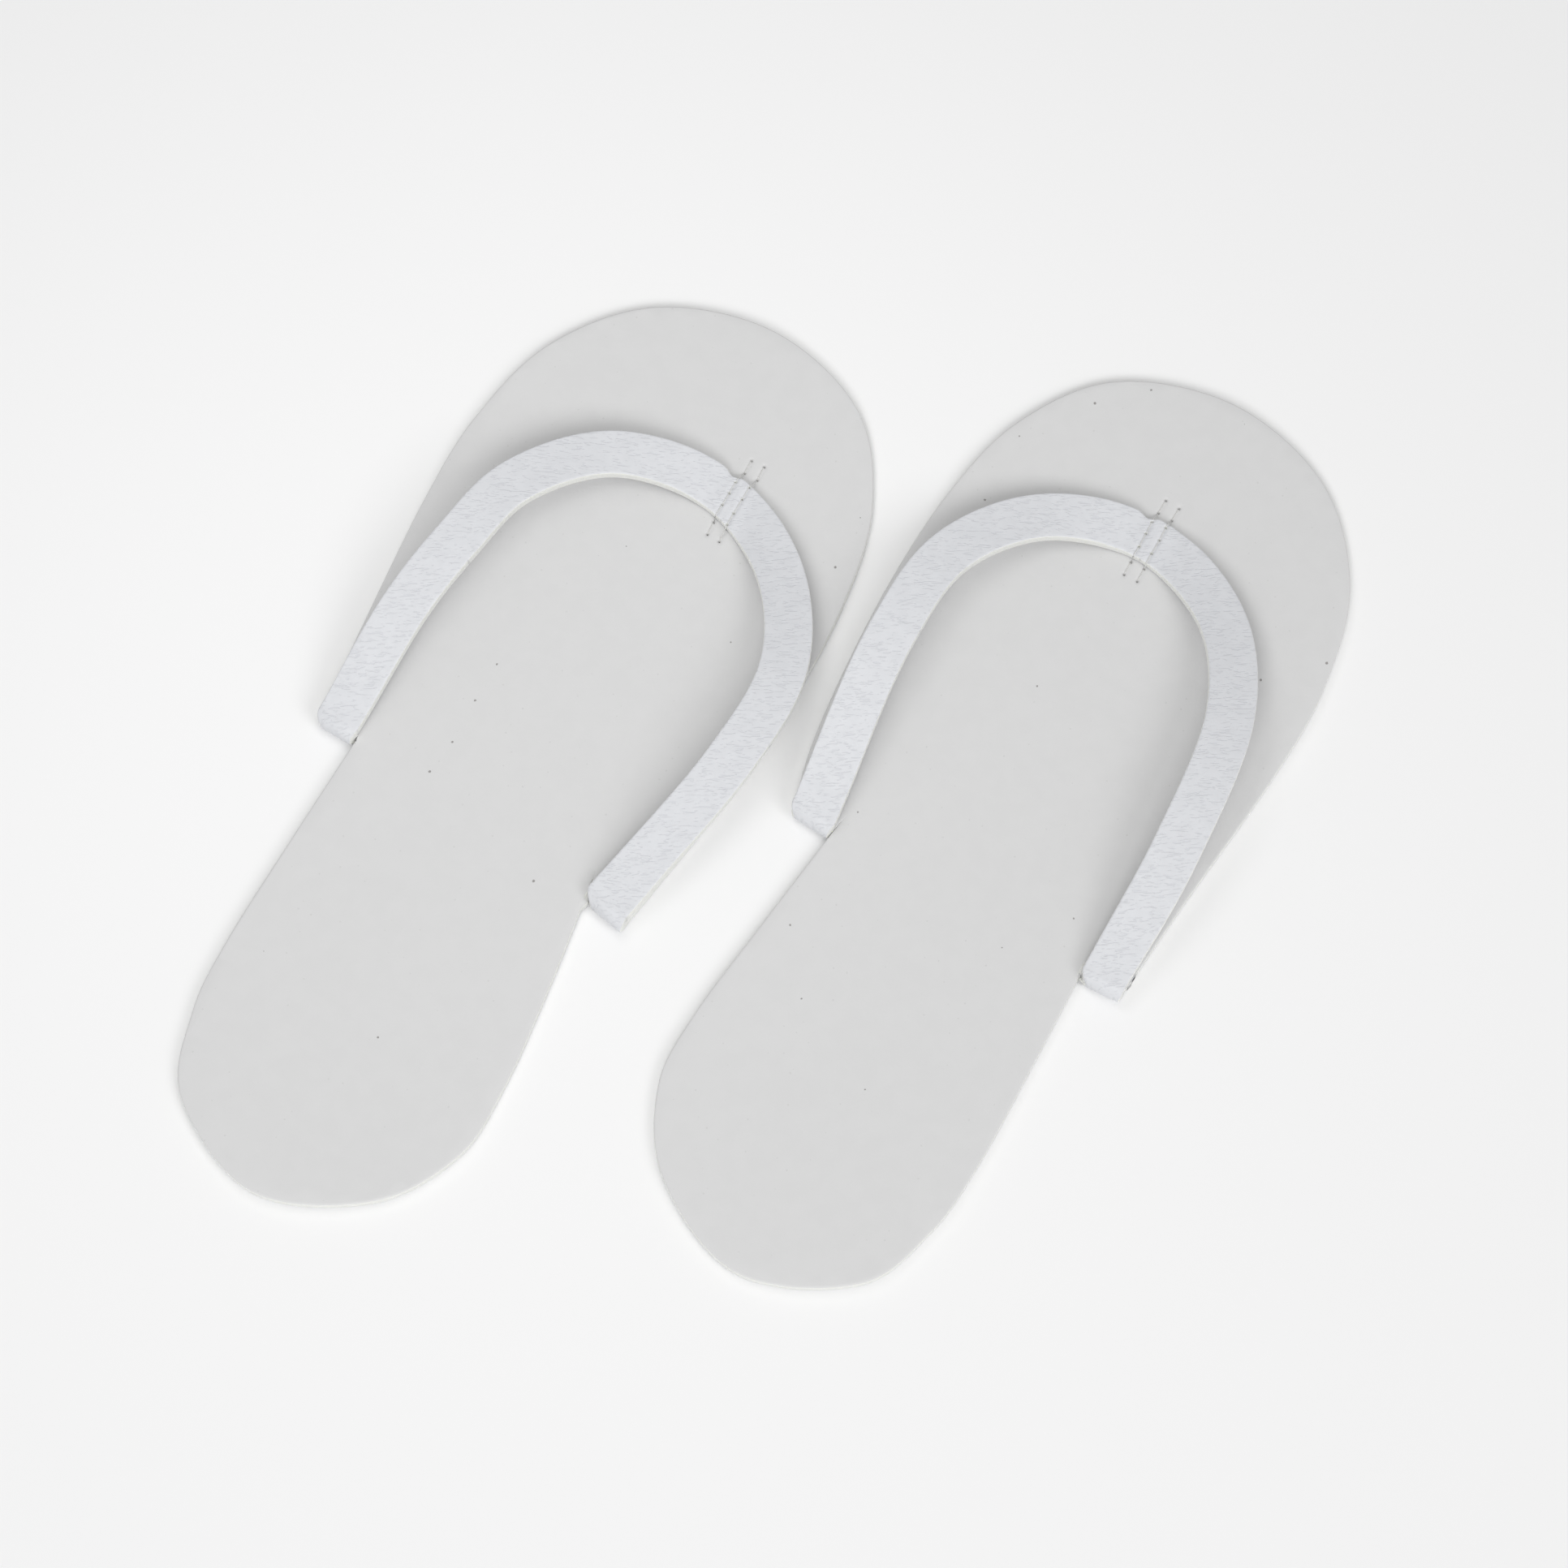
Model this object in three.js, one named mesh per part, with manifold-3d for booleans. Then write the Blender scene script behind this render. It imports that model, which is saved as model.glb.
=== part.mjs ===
// Pair of disposable spa slippers, in millimetres, +Z up, toes along +Y.
//
// Each slipper is cut from one sheet of closed-cell foam. A band cut round the heel stays joined to
// the waist of the sole on both sides. It is folded forward over the footbed and sewn down between
// the toes by two rows of lockstitch, so that it makes the strap. The foam is separate solids here
// where it folds, bends or is sewn: sole, two folds, two strap arms and the pad under the seam.
//
// A slipper is drawn in its own frame, with the outer edge of the foot at -X and the inner edge at
// +X, which is a left slipper. The right one is its mirror image.
import * as THREE from 'three';
import { mergeVertices } from 'three/addons/utils/BufferGeometryUtils.js';
import Module from 'manifold-3d';

// Foam sheet
const SHEET = 3.2; // thickness of the foam
const BAND_WIDTH = 12.5; // width of the strap band
const GAP = 0.3; // clearance between neighbouring solids

// Sole outline, from heel tip to toe tip
const HALF_LENGTH = 134;
const HEEL_OUTER = [[-38.6, -52], [-38.7, -82], [-36.4, -102], [-27.2, -122]];
const HEEL_INNER = [[27.8, -122], [40.6, -102], [41.8, -82], [38.8, -55]];
const FORE_OUTER = [[-52.4, 4], [-57, 46], [-57.4, 74], [-50.8, 102], [-31.5, 125]];
const FORE_INNER = [[29.5, 125], [46.8, 102], [53.4, 74], [54.6, 40], [51.6, 2]];
const HEEL_EDGE_OUTER = -38; // edge of the heel part where the band's cut ends
const HEEL_EDGE_INNER = 34.5;
const WING_OUTER = -49.8; // corner of the wing that the band is folded from
const WING_INNER = 47.1;
const OUTER_FOLD_MIDDLE = (WING_OUTER + HEEL_EDGE_OUTER) / 2;
const INNER_FOLD_MIDDLE = (WING_INNER + HEEL_EDGE_INNER) / 2;
const OUTER_FOLD_WIDTH = HEEL_EDGE_OUTER - WING_OUTER;
const INNER_FOLD_WIDTH = WING_INNER - HEEL_EDGE_INNER;
const OUTLINE_STEPS = 14; // points along each round stretch between two corners, per guide point

// Fold and strap levels
const FOLD_GAP = 0.25; // inside radius of the folded sheet
const FOLD_RADIUS = FOLD_GAP + SHEET;
const FOLD_STEPS = 12;
const SLOT_GAP = GAP + 0.5; // a fold stops short of the heel edge, which slopes beside it
const STRAP_REST = SHEET + 2 * FOLD_GAP; // underside of the strap where it lies down
const ARM_STATIONS = 34;
const FOLD_BLEND = 0.16; // part of an arm over which its cross lines turn from fold to square
const RISE_SKEW = 0.85; // below 1, the arm is highest nearer its fold
const RISE_POWER = 1.4;

// Seam
const PAD_LENGTH = 10; // strap under the seam, along the band
const PAD_THICKNESS = 2.6; // foam pressed thin by the thread
const PAD_STATIONS = 5;
const ROW_SPACING = 3.9;
const ROW_LENGTH = 24;
const THREAD = 0.45; // thread thickness
const GROOVE_DEPTH = THREAD + 0.25 + GAP;
const GROOVE_WIDTH = THREAD + 2 * GAP;
const BOBBIN_LEVEL = 0.25; // underside of the bobbin thread above the floor

// The pair: where each slipper stands, and how its own strap was folded and sewn
const PAIR_SPACING = 115.6;
const PAIR_STAGGER = 39.9;
const SLIPPERS = [
  {
    name: 'left',
    mirror: 1,
    place: [-PAIR_SPACING / 2, -PAIR_STAGGER / 2],
    outerFoldY: -21.5,
    innerFoldY: -31,
    thongX: 14.6,
    seamY: 86,
    outerRise: 12,
    innerRise: 10,
    band: [[-42.6, 14.6], [-39.3, 37], [-34.9, 58], [-17.6, 79.8], [8.7, 86], [33.7, 73.7],
      [50.2, 48], [51, 18]],
  },
  {
    name: 'right',
    mirror: -1,
    place: [PAIR_SPACING / 2, PAIR_STAGGER / 2],
    outerFoldY: -28,
    innerFoldY: -24.5,
    thongX: 0.3,
    seamY: 88.5,
    outerRise: 11,
    innerRise: 11,
    band: [[-44.9, 12], [-40, 52], [-24.7, 76.4], [1, 87.7], [26.3, 79.1], [42.4, 56.6],
      [45.1, 29]],
  },
];

const FOAM_WHITE = { color: 0xdcdcda, roughness: 0.85, metalness: 0 };
const THREAD_WHITE = { color: 0xe6e5e0, roughness: 0.7, metalness: 0 };

const wasm = await Module();
wasm.setup();

const pair = new THREE.Group();

function toVectors(points) {
  return points.map(([x, y]) => new THREE.Vector2(x, y));
}

// Smooth run of points through the guides, without its first point
function roundStretch(guides) {
  const curve = new THREE.SplineCurve(toVectors(guides));
  return curve.getPoints(OUTLINE_STEPS * (guides.length - 1)).slice(1);
}

// Edge of the sole: heel round from fold to fold, then the wings and the forefoot
function soleOutline(slipper) {
  const outerWing = slipper.outerFoldY + FOLD_RADIUS + GAP;
  const innerWing = slipper.innerFoldY + FOLD_RADIUS + GAP;
  const outerSlot = [HEEL_EDGE_OUTER, outerWing];
  const innerSlot = [HEEL_EDGE_INNER, innerWing];
  const heel = [outerSlot, ...HEEL_OUTER, [0.5, -HALF_LENGTH], ...HEEL_INNER, innerSlot];
  const fore = [[WING_INNER, innerWing], ...FORE_INNER.toReversed(), [-1, HALF_LENGTH],
    ...FORE_OUTER.toReversed(), [WING_OUTER, outerWing]];
  return [
    new THREE.Vector2(...outerSlot),
    ...roundStretch(heel),
    new THREE.Vector2(WING_INNER, innerWing),
    ...roundStretch(fore),
  ];
}

// Positions and triangles alone, with one vertex at each corner
function withSharedCorners(geometry) {
  const bare = new THREE.BufferGeometry();
  bare.setAttribute('position', geometry.getAttribute('position'));
  if (geometry.index) {
    bare.setIndex(geometry.index);
  }
  return mergeVertices(bare);
}

function toSolid(geometry) {
  const merged = withSharedCorners(geometry);
  const mesh = new wasm.Mesh({
    numProp: 3,
    vertProperties: new Float32Array(merged.getAttribute('position').array),
    triVerts: new Uint32Array(merged.index.array),
  });
  return new wasm.Manifold(mesh);
}

function toGeometry(solid) {
  const mesh = solid.getMesh();
  const geometry = new THREE.BufferGeometry();
  geometry.setAttribute('position', new THREE.BufferAttribute(mesh.vertProperties, 3));
  geometry.setIndex(new THREE.BufferAttribute(mesh.triVerts, 1));
  return geometry;
}

function rowPlaces(slipper) {
  return {
    outer: slipper.thongX - ROW_SPACING / 2,
    inner: slipper.thongX + ROW_SPACING / 2,
  };
}

// Flat plate of foam with a groove under each row of stitches, where the thread is drawn in
function soleGeometry(slipper) {
  const plate = new THREE.ExtrudeGeometry(new THREE.Shape(soleOutline(slipper)), {
    depth: SHEET,
    bevelEnabled: false,
  });
  let solid = toSolid(plate);
  for (const x of Object.values(rowPlaces(slipper))) {
    const groove = new THREE.BoxGeometry(GROOVE_WIDTH, ROW_LENGTH + 2 * GAP, 2 * GROOVE_DEPTH);
    groove.translate(x, slipper.seamY, 0);
    solid = solid.subtract(toSolid(groove));
  }
  return toGeometry(solid);
}

// Sheet turned back on itself: half a ring seen along X, between two X positions
function foldGeometry(foldY, fromX, toX) {
  const centreY = foldY + FOLD_RADIUS;
  const centreZ = SHEET + FOLD_GAP;
  const section = new THREE.Shape();
  section.absarc(centreY, centreZ, FOLD_RADIUS, Math.PI / 2, 1.5 * Math.PI, false);
  section.absarc(centreY, centreZ, FOLD_GAP, 1.5 * Math.PI, Math.PI / 2, true);
  section.closePath();
  const ring = new THREE.ExtrudeGeometry(section, {
    depth: toX - fromX,
    bevelEnabled: false,
    curveSegments: FOLD_STEPS,
  });
  const sectionToSlipper = new THREE.Matrix4().makeBasis(
    new THREE.Vector3(0, 1, 0),
    new THREE.Vector3(0, 0, 1),
    new THREE.Vector3(1, 0, 0),
  );
  ring.applyMatrix4(sectionToSlipper);
  ring.translate(fromX, 0, 0);
  return ring;
}

// Middle line of the strap band, from the outer fold round to the inner fold
function bandCurve(slipper) {
  const outerEnd = [OUTER_FOLD_MIDDLE, slipper.outerFoldY + FOLD_RADIUS];
  const innerEnd = [INNER_FOLD_MIDDLE, slipper.innerFoldY + FOLD_RADIUS];
  const guides = [outerEnd, ...slipper.band, innerEnd];
  const points = guides.map(([x, y]) => new THREE.Vector3(x, y, 0));
  return new THREE.CatmullRomCurve3(points, false, 'centripetal');
}

// Where the band passes a given X near its apex, as a fraction of its length
function bandFractionAt(curve, x) {
  let low = 0.25;
  let high = 0.75;
  for (let step = 0; step < 40; step += 1) {
    const middle = (low + high) / 2;
    if (curve.getPointAt(middle).x < x) {
      low = middle;
    } else {
      high = middle;
    }
  }
  return (low + high) / 2;
}

// One cross line of the band: its middle, the direction to its outer side and its half length.
// The direction is square to the band, and turns to `target` where `weight` is 1.
function crossLine(curve, fraction, target, weight) {
  const middle = curve.getPointAt(fraction);
  const tangent = curve.getTangentAt(fraction);
  const square = new THREE.Vector3(-tangent.y, tangent.x, 0).normalize();
  const direction = square.clone().lerp(target, weight).normalize();
  return { middle, direction, half: BAND_WIDTH / 2 / direction.dot(square) };
}

// Closed band through cross lines, each with its own underside and top level
function bandGeometry(lines) {
  const positions = [];
  const triangles = [];
  for (const { middle, direction, half, low, high } of lines) {
    for (const [reach, level] of [[-half, low], [half, low], [half, high], [-half, high]]) {
      positions.push(middle.x + direction.x * reach, middle.y + direction.y * reach, level);
    }
  }
  for (let line = 0; line < lines.length - 1; line += 1) {
    for (let corner = 0; corner < 4; corner += 1) {
      const here = 4 * line + corner;
      const next = 4 * line + ((corner + 1) % 4);
      triangles.push(here, next, next + 4, here, next + 4, here + 4);
    }
  }
  const last = 4 * (lines.length - 1);
  triangles.push(0, 2, 1, 0, 3, 2);
  triangles.push(last, last + 1, last + 2, last, last + 2, last + 3);
  const geometry = new THREE.BufferGeometry();
  geometry.setAttribute('position', new THREE.Float32BufferAttribute(positions, 3));
  geometry.setIndex(triangles);
  return geometry;
}

// Height of an arm over its resting level, from its fold at 0 to the seam at 1
function armRise(along) {
  return Math.sin(Math.PI * along ** RISE_SKEW) ** RISE_POWER;
}

// Raised arm of the strap between two fractions of the band. `outer` says which fold it starts at.
function armGeometry(curve, from, to, rise, outer) {
  const foldSide = new THREE.Vector3(outer ? -1 : 1, 0, 0);
  const foldHalf = (outer ? OUTER_FOLD_WIDTH : INNER_FOLD_WIDTH) / 2;
  const seamSide = new THREE.Vector3(0, 1, 0);
  const lines = [];
  for (let station = 0; station < ARM_STATIONS; station += 1) {
    const step = station / (ARM_STATIONS - 1);
    const along = outer ? step : 1 - step;
    const foldWeight = Math.max(0, 1 - along / FOLD_BLEND);
    const seamWeight = Math.max(0, 1 - (1 - along) / FOLD_BLEND);
    const target = foldWeight > 0 ? foldSide : seamSide;
    const fraction = THREE.MathUtils.lerp(from, to, step);
    const line = crossLine(curve, fraction, target, Math.max(foldWeight, seamWeight));
    line.half = THREE.MathUtils.lerp(line.half, foldHalf, foldWeight);
    line.low = STRAP_REST + rise * armRise(along);
    line.high = line.low + SHEET;
    lines.push(line);
  }
  return bandGeometry(lines);
}

function padGeometry(curve, from, to) {
  const lines = [];
  for (let station = 0; station < PAD_STATIONS; station += 1) {
    const fraction = THREE.MathUtils.lerp(from, to, station / (PAD_STATIONS - 1));
    const line = crossLine(curve, fraction, new THREE.Vector3(0, 1, 0), 1);
    line.low = SHEET + GAP;
    line.high = line.low + PAD_THICKNESS;
    lines.push(line);
  }
  return bandGeometry(lines);
}

// Thread of one row: along the footbed, up and over the strap, and along the footbed again
function needleGeometry(slipper, curve, x) {
  const line = crossLine(curve, bandFractionAt(curve, x), new THREE.Vector3(0, 1, 0), 1);
  const heelStep = line.middle.y - line.half - GAP;
  const toeStep = line.middle.y + line.half + GAP;
  const start = slipper.seamY - ROW_LENGTH / 2;
  const end = slipper.seamY + ROW_LENGTH / 2;
  const low = SHEET + GAP;
  const high = low + PAD_THICKNESS + GAP;
  const profile = new THREE.Shape(toVectors([
    [start, low],
    [heelStep, low],
    [heelStep, high],
    [toeStep, high],
    [toeStep, low],
    [end, low],
    [end, low + THREAD],
    [toeStep + THREAD, low + THREAD],
    [toeStep + THREAD, high + THREAD],
    [heelStep - THREAD, high + THREAD],
    [heelStep - THREAD, low + THREAD],
    [start, low + THREAD],
  ]));
  const thread = new THREE.ExtrudeGeometry(profile, { depth: THREAD, bevelEnabled: false });
  const profileToSlipper = new THREE.Matrix4().makeBasis(
    new THREE.Vector3(0, 1, 0),
    new THREE.Vector3(0, 0, 1),
    new THREE.Vector3(1, 0, 0),
  );
  thread.applyMatrix4(profileToSlipper);
  thread.translate(x - THREAD / 2, 0, 0);
  return thread;
}

function bobbinGeometry(slipper, x) {
  const thread = new THREE.BoxGeometry(THREAD, ROW_LENGTH, THREAD);
  thread.translate(x, slipper.seamY, BOBBIN_LEVEL + THREAD / 2);
  return thread;
}

// Turns a shape over in X and keeps its faces pointing out
function mirrored(geometry) {
  const turned = geometry.clone();
  turned.scale(-1, 1, 1);
  const corners = turned.index.array;
  const flipped = [];
  for (let corner = 0; corner < corners.length; corner += 3) {
    flipped.push(corners[corner], corners[corner + 2], corners[corner + 1]);
  }
  turned.setIndex(flipped);
  return turned;
}

function addPiece(slipper, name, geometry, finish) {
  const merged = withSharedCorners(geometry);
  const closed = slipper.mirror < 0 ? mirrored(merged) : merged;
  closed.computeVertexNormals();
  const mesh = new THREE.Mesh(closed, new THREE.MeshStandardMaterial(finish));
  mesh.name = `${slipper.name}_${name}`;
  slipper.group.add(mesh);
}

function addFolds(slipper) {
  const outerFold = foldGeometry(slipper.outerFoldY, WING_OUTER, HEEL_EDGE_OUTER - SLOT_GAP);
  const innerFold = foldGeometry(slipper.innerFoldY, HEEL_EDGE_INNER + SLOT_GAP, WING_INNER);
  addPiece(slipper, 'outer_fold', outerFold, FOAM_WHITE);
  addPiece(slipper, 'inner_fold', innerFold, FOAM_WHITE);
}

function addStrap(slipper, curve) {
  const padStart = bandFractionAt(curve, slipper.thongX - PAD_LENGTH / 2);
  const padEnd = bandFractionAt(curve, slipper.thongX + PAD_LENGTH / 2);
  const step = GAP / curve.getLength();
  const outerArm = armGeometry(curve, step, padStart - 2 * step, slipper.outerRise, true);
  const innerArm = armGeometry(curve, padEnd + 2 * step, 1 - step, slipper.innerRise, false);
  addPiece(slipper, 'outer_strap_arm', outerArm, FOAM_WHITE);
  addPiece(slipper, 'thong_pad', padGeometry(curve, padStart, padEnd), FOAM_WHITE);
  addPiece(slipper, 'inner_strap_arm', innerArm, FOAM_WHITE);
}

function addSeam(slipper, curve) {
  for (const [row, x] of Object.entries(rowPlaces(slipper))) {
    addPiece(slipper, `${row}_needle_thread`, needleGeometry(slipper, curve, x), THREAD_WHITE);
    addPiece(slipper, `${row}_bobbin_thread`, bobbinGeometry(slipper, x), THREAD_WHITE);
  }
}

for (const slipper of SLIPPERS) {
  slipper.group = new THREE.Group();
  slipper.group.position.set(...slipper.place, 0);
  pair.add(slipper.group);
  const curve = bandCurve(slipper);
  addPiece(slipper, 'sole', soleGeometry(slipper), FOAM_WHITE);
  addFolds(slipper);
  addStrap(slipper, curve);
  addSeam(slipper, curve);
}

export default pair;
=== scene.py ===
"""Looks of a pair of disposable foam spa slippers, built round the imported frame.

Each slipper is one die-cut sheet of closed-cell foam. The footbed shows the sheet's smooth skin. The
strap is a band of the same sheet, folded forward at the waist, so it shows the crinkled reverse, and
it is sewn down between the toes with two rows of lockstitch. Lengths are in metres.
"""

import logging
import math
from dataclasses import dataclass, field
from enum import Enum
from typing import Callable

import bmesh
import bpy
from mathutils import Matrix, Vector, noise
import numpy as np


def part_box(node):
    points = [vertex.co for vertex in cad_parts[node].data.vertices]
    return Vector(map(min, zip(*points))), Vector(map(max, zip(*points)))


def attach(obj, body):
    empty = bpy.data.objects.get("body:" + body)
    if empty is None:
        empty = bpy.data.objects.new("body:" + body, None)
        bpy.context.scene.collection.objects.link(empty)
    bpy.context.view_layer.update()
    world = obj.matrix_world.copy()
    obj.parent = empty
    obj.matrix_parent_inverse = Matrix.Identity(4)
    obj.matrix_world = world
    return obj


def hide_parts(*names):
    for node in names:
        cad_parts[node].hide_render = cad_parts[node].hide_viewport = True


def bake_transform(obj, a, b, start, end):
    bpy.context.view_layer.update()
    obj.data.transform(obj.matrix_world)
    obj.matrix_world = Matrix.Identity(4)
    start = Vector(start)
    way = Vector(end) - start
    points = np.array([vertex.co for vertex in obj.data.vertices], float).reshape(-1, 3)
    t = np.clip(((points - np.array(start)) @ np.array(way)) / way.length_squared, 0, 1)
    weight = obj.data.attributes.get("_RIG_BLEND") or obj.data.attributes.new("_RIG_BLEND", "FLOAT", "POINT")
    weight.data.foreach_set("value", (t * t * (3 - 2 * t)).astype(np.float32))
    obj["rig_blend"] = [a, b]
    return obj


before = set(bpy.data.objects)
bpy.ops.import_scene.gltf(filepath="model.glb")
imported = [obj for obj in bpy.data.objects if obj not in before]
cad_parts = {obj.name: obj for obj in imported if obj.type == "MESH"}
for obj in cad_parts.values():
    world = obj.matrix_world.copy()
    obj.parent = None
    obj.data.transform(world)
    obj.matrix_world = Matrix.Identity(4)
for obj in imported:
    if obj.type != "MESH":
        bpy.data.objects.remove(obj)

LOG = logging.getLogger("spa_slippers")
MM = 0.001
UP = Vector((0, 0, 1))
SEED = 7


class Side(Enum):
    """Which foot a slipper is for."""

    LEFT = "left"
    RIGHT = "right"

    @property
    def inward(self) -> int:
        """Sign of X towards the other slipper, which is the inner side of the foot."""
        return 1 if self is Side.LEFT else -1


class Arm(Enum):
    """Which arm of the strap, and which fold it starts from."""

    OUTER = "outer"
    INNER = "inner"


class Skin(Enum):
    """Faces of the foam sheet, in the order of a piece's material slots."""

    SMOOTH = 0
    CRINKLED = 1
    CUT = 2


# Mesh work ---------------------------------------------------------------------------------------


@dataclass
class Workbench:
    """Edit mode on one piece, with everything deselected first and selections made in code."""

    piece: bpy.types.Object

    def __enter__(self) -> "Workbench":
        """Open the piece in edit mode with nothing selected."""
        bpy.ops.object.select_all(action="DESELECT")
        self.piece.select_set(True)
        bpy.context.view_layer.objects.active = self.piece
        bpy.ops.object.mode_set(mode="EDIT")
        bpy.ops.mesh.select_mode(type="FACE")
        bpy.ops.mesh.select_all(action="DESELECT")
        return self

    def __exit__(self, *_: object) -> None:
        """Go back to object mode."""
        bpy.ops.object.mode_set(mode="OBJECT")

    def _pick(self, kind: str, wanted: Callable[[object], bool]) -> int:
        """Select the elements of one kind that pass a test.

        Args:
            kind: "VERT", "EDGE" or "FACE".
            wanted: Test of one element.

        Returns:
            How many elements are selected.
        """
        bpy.ops.mesh.select_mode(type=kind)
        bpy.ops.mesh.select_all(action="DESELECT")
        mesh = bmesh.from_edit_mesh(self.piece.data)
        rows = {"VERT": mesh.verts, "EDGE": mesh.edges, "FACE": mesh.faces}[kind]
        chosen = [element for element in rows if wanted(element)]
        for element in chosen:
            element.select_set(True)
        mesh.select_flush_mode()
        bmesh.update_edit_mesh(self.piece.data)
        return len(chosen)

    def faces(self, wanted: Callable[[bmesh.types.BMFace], bool]) -> int:
        """Select the faces that pass a test."""
        return self._pick("FACE", wanted)

    def edges(self, wanted: Callable[[bmesh.types.BMEdge], bool]) -> int:
        """Select the edges that pass a test."""
        return self._pick("EDGE", wanted)

    def everything(self) -> None:
        """Select the whole mesh."""
        bpy.ops.mesh.select_all(action="SELECT")

    def move_points(self, place: Callable[[Vector, Vector], Vector]) -> None:
        """Move every point to the place that a function gives.

        Args:
            place: Takes a point and its normal, and gives its new place.
        """
        mesh = bmesh.from_edit_mesh(self.piece.data)
        mesh.normal_update()
        targets = [place(point.co.copy(), point.normal.copy()) for point in mesh.verts]
        for point, target in zip(mesh.verts, targets):
            point.co = target
        bmesh.update_edit_mesh(self.piece.data)


def copy_of(node: str, name: str) -> bpy.types.Object:
    """Copy a CAD node's mesh into a new piece, with its loose triangles joined up.

    Args:
        node: Name of the CAD node.
        name: Name of the new piece.

    Returns:
        The new piece, at the origin, with no material.
    """
    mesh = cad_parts[node].data.copy()
    mesh.materials.clear()
    piece = bpy.data.objects.new(name, mesh)
    bpy.context.scene.collection.objects.link(piece)
    with Workbench(piece) as bench:
        bench.everything()
        bpy.ops.mesh.remove_doubles(threshold=0.001 * MM)
    for attribute in [a.name for a in mesh.attributes if a.name.startswith("custom_normal")]:
        mesh.attributes.remove(mesh.attributes[attribute])
    return piece


def apply_modifiers(piece: bpy.types.Object) -> None:
    """Apply every modifier of a piece, in order."""
    bpy.ops.object.select_all(action="DESELECT")
    piece.select_set(True)
    bpy.context.view_layer.objects.active = piece
    for modifier in list(piece.modifiers):
        bpy.ops.object.modifier_apply(modifier=modifier.name)


def smooth_shade(piece: bpy.types.Object, degrees: float) -> None:
    """Shade a piece smooth, apart from edges sharper than an angle."""
    bpy.ops.object.select_all(action="DESELECT")
    piece.select_set(True)
    bpy.context.view_layer.objects.active = piece
    bpy.ops.object.shade_smooth_by_angle(angle=math.radians(degrees))


def smooth(share: float) -> float:
    """Smooth step from 0 to 1."""
    share = min(1.0, max(0.0, share))
    return share * share * (3 - 2 * share)


def corner_inset(radius: float, depth: float) -> float:
    """How far a round corner stands back from a square one, at a depth from the end."""
    if depth >= radius:
        return 0.0
    return radius - math.sqrt(radius**2 - (radius - max(depth, 0.0)) ** 2)


def keep_sheet_places(piece: bpy.types.Object) -> None:
    """Store each point's rest place in the "sheet" attribute, which the foam's pattern follows."""
    mesh = piece.data
    places = mesh.attributes.new("sheet", "FLOAT_VECTOR", "POINT")
    for index, point in enumerate(mesh.vertices):
        places.data[index].vector = point.co


def bump(distance: float, reach: float) -> float:
    """Smooth hill of height 1 at no distance, which falls to 0.37 at its reach."""
    return math.exp(-((distance / reach) ** 2))


# Shared shader effects ---------------------------------------------------------------------------


class EffectGroup:
    """A shader node group that puts out masks and heights, built once and used by several finishes."""

    def __init__(self, name: str, inputs: dict[str, float], outputs: list[str]) -> None:
        """Make the empty group with its sockets.

        Args:
            name: Name of the group.
            inputs: Number inputs and their usual values. A vector input "Place" comes first.
            outputs: Number outputs.
        """
        self.tree = bpy.data.node_groups.new(name, "ShaderNodeTree")
        face = self.tree.interface
        face.new_socket(name="Place", in_out="INPUT", socket_type="NodeSocketVector")
        for label, value in inputs.items():
            socket = face.new_socket(name=label, in_out="INPUT", socket_type="NodeSocketFloat")
            socket.default_value = value
        for label in outputs:
            face.new_socket(name=label, in_out="OUTPUT", socket_type="NodeSocketFloat")
        self.entry = self.tree.nodes.new("NodeGroupInput")
        self.exit = self.tree.nodes.new("NodeGroupOutput")

    def add(self, kind: str, **settings: object) -> bpy.types.Node:
        """Add a node and set its properties."""
        node = self.tree.nodes.new(kind)
        for label, value in settings.items():
            setattr(node, label, value)
        return node

    def link(self, start: bpy.types.NodeSocket, end: bpy.types.NodeSocket) -> None:
        """Join two sockets."""
        self.tree.links.new(start, end)

    def math(self, operation: str, first: object, second: object = 0.0) -> bpy.types.NodeSocket:
        """Add a Math node whose inputs are sockets or numbers, and return its output."""
        node = self.add("ShaderNodeMath", operation=operation)
        for socket, value in zip(node.inputs, (first, second)):
            if isinstance(value, bpy.types.NodeSocket):
                self.link(value, socket)
            else:
                socket.default_value = value
        return node.outputs[0]

    def ramp(self, value: bpy.types.NodeSocket, low: float, high: float) -> bpy.types.NodeSocket:
        """Map a value from low..high to 0..1, clamped, with a smooth start and end."""
        node = self.add("ShaderNodeMapRange", interpolation_type="SMOOTHSTEP")
        self.link(value, node.inputs["Value"])
        node.inputs["From Min"].default_value = low
        node.inputs["From Max"].default_value = high
        return node.outputs["Result"]

    def noise(self, place: bpy.types.NodeSocket, scale: object, detail: float) -> bpy.types.NodeSocket:
        """Add a Noise texture and return its factor."""
        node = self.add("ShaderNodeTexNoise")
        self.link(place, node.inputs["Vector"])
        node.inputs["Detail"].default_value = detail
        if isinstance(scale, bpy.types.NodeSocket):
            self.link(scale, node.inputs["Scale"])
        else:
            node.inputs["Scale"].default_value = scale
        return node.outputs["Fac"]


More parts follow.
